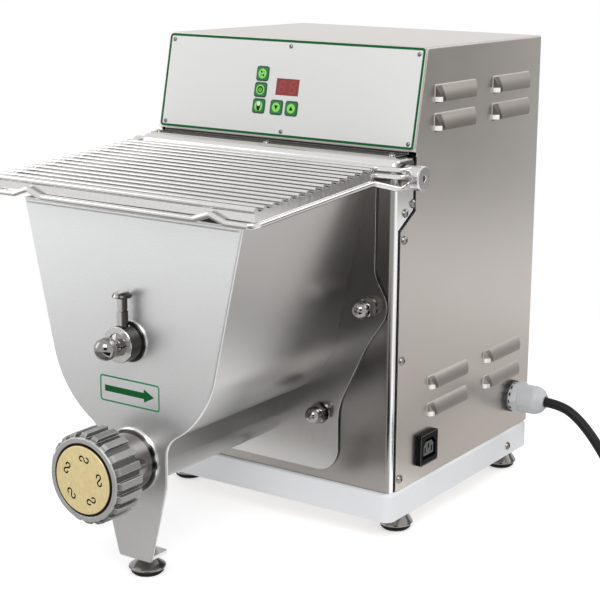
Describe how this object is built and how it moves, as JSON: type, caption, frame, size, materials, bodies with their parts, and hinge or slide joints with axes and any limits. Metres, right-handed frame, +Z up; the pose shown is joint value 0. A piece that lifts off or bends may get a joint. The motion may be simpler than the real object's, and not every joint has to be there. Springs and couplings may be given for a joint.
{
  "type": "electric pasta maker",
  "caption": "Countertop electric pasta extruder: kneading bowl with wire lid over an auger, bronze die in a fluted ring nut, geared drive in a stainless housing.",
  "frame": {"origin": "on the floor, under the middle of the machine's width and depth, without its mains cable", "axes": "+Z up, +Y to the rear, away from the die; +X to the right of someone who faces the die"},
  "size_m": [0.626, 0.535, 0.464],
  "materials": {
    "white_powder_coat": "fine satin powder coat",
    "brushed_steel": "brushed satin",
    "polished_steel": "polished",
    "satin_steel": "fine grained satin",
    "die_bronze": "turned and brushed",
    "cast_aluminium": "fine blasted",
    "machined_steel": "turned",
    "gear_steel": "machined, oiled",
    "panel_film": "satin film",
    "key_plastic": "satin",
    "display_red": "gloss",
    "board": "matt",
    "black_plastic": "satin",
    "grey_plastic": "satin",
    "black_rubber": "matt",
    "motor_paint": "satin",
    "bearing_bronze": "turned"
  },
  "bodies": {
    "machine": {"base_tray": "white_powder_coat", "bottom_plate": "brushed_steel", "foot_cones": "machined_steel", "foot_pads": "black_rubber", "front_column": "polished_steel", "housing_cover": "brushed_steel", "rear_panel": "brushed_steel", "housing_screws": "polished_steel", "control_overlay": "panel_film", "panel_screws": "polished_steel", "display_window": "display_red", "control_board": "board", "bowl_flange": "satin_steel", "bowl_shell": "satin_steel", "bowl_front_plate": "satin_steel", "leg_foot_nut": "machined_steel", "auger_trough": "satin_steel", "barrel_head": "polished_steel", "spigot_boss": "polished_steel", "dome_nuts": "polished_steel", "flange_studs": "machined_steel", "drive_plate_front": "machined_steel", "drive_plate_rear": "machined_steel", "drive_spacers": "machined_steel", "shaft_bearings": "machined_steel", "reducer_case": "motor_paint", "motor": "motor_paint", "power_unit": "grey_plastic", "hinge_bushes": "bearing_bronze", "lid_switch": "black_plastic", "accessory_outlet": "black_plastic", "cable_gland": "grey_plastic", "gland_nut": "grey_plastic", "power_cord": "black_rubber", "cord_coil": "black_rubber", "cord_tail": "black_rubber", "mains_plug": "black_rubber"},
    "lid": {"lid_grid": "polished_steel", "lid_loop": "polished_steel", "lid_yoke": "polished_steel", "lid_hubs": "machined_steel", "lid_shafts": "machined_steel"},
    "auger_rotor": {"auger": "polished_steel", "auger_gear": "gear_steel"},
    "mixer_rotor": {"mixing_shaft": "polished_steel", "mixing_paddles": "polished_steel", "mixer_gear": "gear_steel"},
    "pinion": {"drive_pinion": "gear_steel"},
    "spigot": {"spigot": "polished_steel"},
    "lock_pin": {"lock_pin": "polished_steel"},
    "die": {"extrusion_die": "die_bronze"},
    "ring_nut": {"ring_nut": "cast_aluminium"},
    "leg_foot": {"leg_foot_cone": "machined_steel", "leg_foot_pad": "black_rubber"},
    "key_fan": {"key_fan": "key_plastic"},
    "key_power": {"key_power": "key_plastic"},
    "key_knead": {"key_knead": "key_plastic"},
    "key_down": {"key_down": "key_plastic"},
    "key_up": {"key_up": "key_plastic"}
  },
  "joints": [
    {"name": "lid_hinge", "type": "hinge", "parent": "machine", "child": "lid", "pos_m": [0, 0.00335, 0.35], "axis": [-1, 0, 0], "range_deg": [0, 92]},
    {"name": "auger_turn", "type": "hinge", "parent": "machine", "child": "auger_rotor", "pos_m": [0, 0, 0.111], "axis": [0, -1, 0], "continuous": true},
    {"name": "mixer_turn", "type": "hinge", "parent": "machine", "child": "mixer_rotor", "pos_m": [0, 0, 0.2185], "axis": [0, -1, 0], "continuous": true},
    {"name": "pinion_turn", "type": "hinge", "parent": "machine", "child": "pinion", "pos_m": [-0.06132, 0, 0.12845], "axis": [0, -1, 0], "continuous": true},
    {"name": "spigot_slide", "type": "slide", "parent": "machine", "child": "spigot", "axis": [0, -1, 0], "range_m": [0, 0.012]},
    {"name": "lock_pin_lift", "type": "slide", "parent": "machine", "child": "lock_pin", "axis": [0, 0, 1], "range_m": [0, 0.012]},
    {"name": "die_slide", "type": "slide", "parent": "machine", "child": "die", "axis": [0, -1, 0], "range_m": [0, 0.0151]},
    {"name": "ring_nut_turn", "type": "hinge", "parent": "die", "child": "ring_nut", "pos_m": [0, -0.25135, 0.111], "axis": [0, -1, 0], "range_deg": [0, 1800]},
    {"name": "leg_foot_turn", "type": "hinge", "parent": "machine", "child": "leg_foot", "pos_m": [0, -0.18635, 0.017], "axis": [0, 0, 1], "range_deg": [-180, 180]},
    {"name": "fan_press", "type": "slide", "parent": "machine", "child": "key_fan", "axis": [0, 0.9784, -0.2068], "range_m": [0, 0.0006], "stiffness_N_per_m": 1500, "springref_m": -0.0005},
    {"name": "power_press", "type": "slide", "parent": "machine", "child": "key_power", "axis": [0, 0.9784, -0.2068], "range_m": [0, 0.0006], "stiffness_N_per_m": 1500, "springref_m": -0.0005},
    {"name": "knead_press", "type": "slide", "parent": "machine", "child": "key_knead", "axis": [0, 0.9784, -0.2068], "range_m": [0, 0.0006], "stiffness_N_per_m": 1500, "springref_m": -0.0005},
    {"name": "down_press", "type": "slide", "parent": "machine", "child": "key_down", "axis": [0, 0.9784, -0.2068], "range_m": [0, 0.0006], "stiffness_N_per_m": 1500, "springref_m": -0.0005},
    {"name": "up_press", "type": "slide", "parent": "machine", "child": "key_up", "axis": [0, 0.9784, -0.2068], "range_m": [0, 0.0006], "stiffness_N_per_m": 1500, "springref_m": -0.0005}
  ],
  "couplings": [
    {"joint": "mixer_turn", "follows": "auger_turn", "ratio": -0.65385},
    {"joint": "pinion_turn", "follows": "auger_turn", "ratio": -2},
    {"joint": "die_slide", "follows": "ring_nut_turn", "m_per_rad": 0.00047746}
  ]
}
